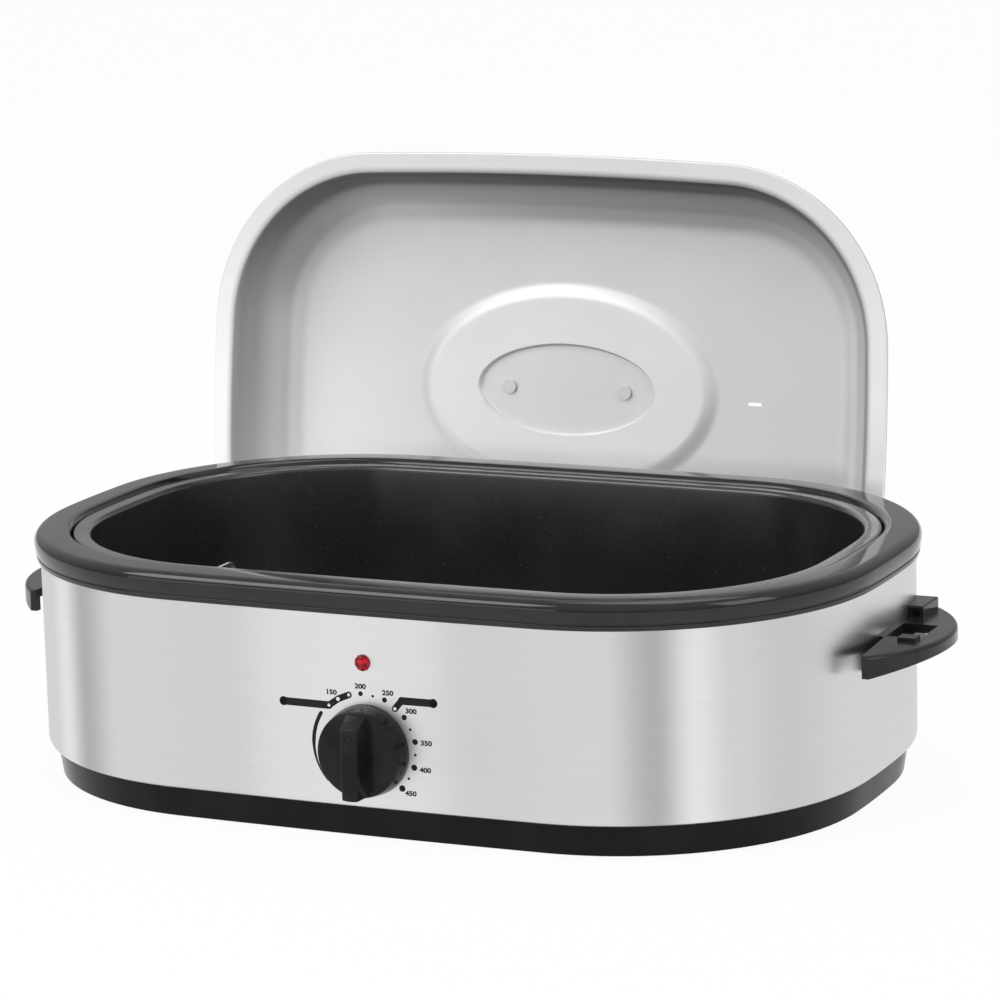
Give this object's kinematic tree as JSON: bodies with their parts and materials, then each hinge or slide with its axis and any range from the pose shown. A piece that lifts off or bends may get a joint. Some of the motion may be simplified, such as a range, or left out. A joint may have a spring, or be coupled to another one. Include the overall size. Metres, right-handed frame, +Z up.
{
  "type": "electric roaster oven",
  "caption": "Countertop electric roaster oven: oblong steel body with black rim, base and side handles, front dial and red lamp, lift-out pan and rack, loose domed lid standing behind.",
  "frame": {"origin": "centre of the bounding box in plan, on the surface that the feet and the lid's edge stand on", "axes": "+X to the right along the long side, +Y to the back where the lid stands, +Z up; the dial faces -Y"},
  "size_m": [0.586, 0.4706, 0.3347],
  "materials": {
    "wrap_steel": "brushed stainless sheet, grain running round the body",
    "rim_black": "smooth gloss black moulding",
    "base_black": "gloss black enamelled sheet",
    "well_steel": "dull aluminised sheet",
    "heater_mica": "woven heater cord on mica",
    "zinc_steel": "bright zinc-plated steel",
    "blanket_fibre": "matted glass fibre",
    "foot_rubber": "black moulded rubber",
    "switch_plastic": "brown phenolic switch housing",
    "knob_black": "satin black moulding with a gloss thumb bar",
    "lens_red": "clear red faceted lens",
    "neon_glass": "small neon tube",
    "handle_black": "black phenolic moulding with a soft sheen",
    "block_ceramic": "glazed white terminal block",
    "pan_enamel": "black vitreous enamel on drawn steel",
    "rack_chrome": "bright plated wire",
    "lid_steel": "satin silver-grey drawn sheet"
  },
  "bodies": {
    "cooker": {"base_skirt": "base_black", "outer_wrap": "wrap_steel", "top_rim": "rim_black", "heating_well": "well_steel", "heater_band": "heater_mica", "heater_clamps": "zinc_steel", "insulation_blanket": "blanket_fibre", "feet": "foot_rubber", "foot_screws": "zinc_steel", "tie_brackets": "zinc_steel", "tie_screws": "zinc_steel", "thermostat": "switch_plastic", "bushing_nut": "zinc_steel", "indicator_lens": "lens_red", "indicator_lamp": "neon_glass", "right_handle": "handle_black", "left_handle": "handle_black", "backing_plates": "zinc_steel", "handle_screws": "zinc_steel", "cord_gland": "handle_black", "terminal_block": "block_ceramic", "thermal_fuse": "zinc_steel"},
    "dial": {"control_knob": "knob_black", "knob_spindle": "zinc_steel"},
    "pan": {"roasting_pan": "pan_enamel"},
    "rack": {"rack_frame": "rack_chrome", "rack_rods": "rack_chrome", "rack_loops": "rack_chrome"},
    "lid": {"lid_shell": "lid_steel", "lid_handle": "handle_black", "lid_handle_screws": "zinc_steel"}
  },
  "joints": [
    {"name": "dial_turn", "type": "hinge", "parent": "cooker", "child": "dial", "pos_m": [0.0108, -0.2132, 0.053], "axis": [0, 1, 0], "range_deg": [-133, 135]},
    {"name": "pan_lift", "type": "slide", "parent": "cooker", "child": "pan", "axis": [0, 0, 1], "range_m": [0, 0.16]},
    {"name": "rack_lift", "type": "slide", "parent": "pan", "child": "rack", "axis": [0, 0, 1], "range_m": [0, 0.14]},
    {"name": "lid_lift", "type": "slide", "parent": "cooker", "child": "lid", "axis": [0, 0.1175, 0.9931], "range_m": [0, 0.2]}
  ]
}
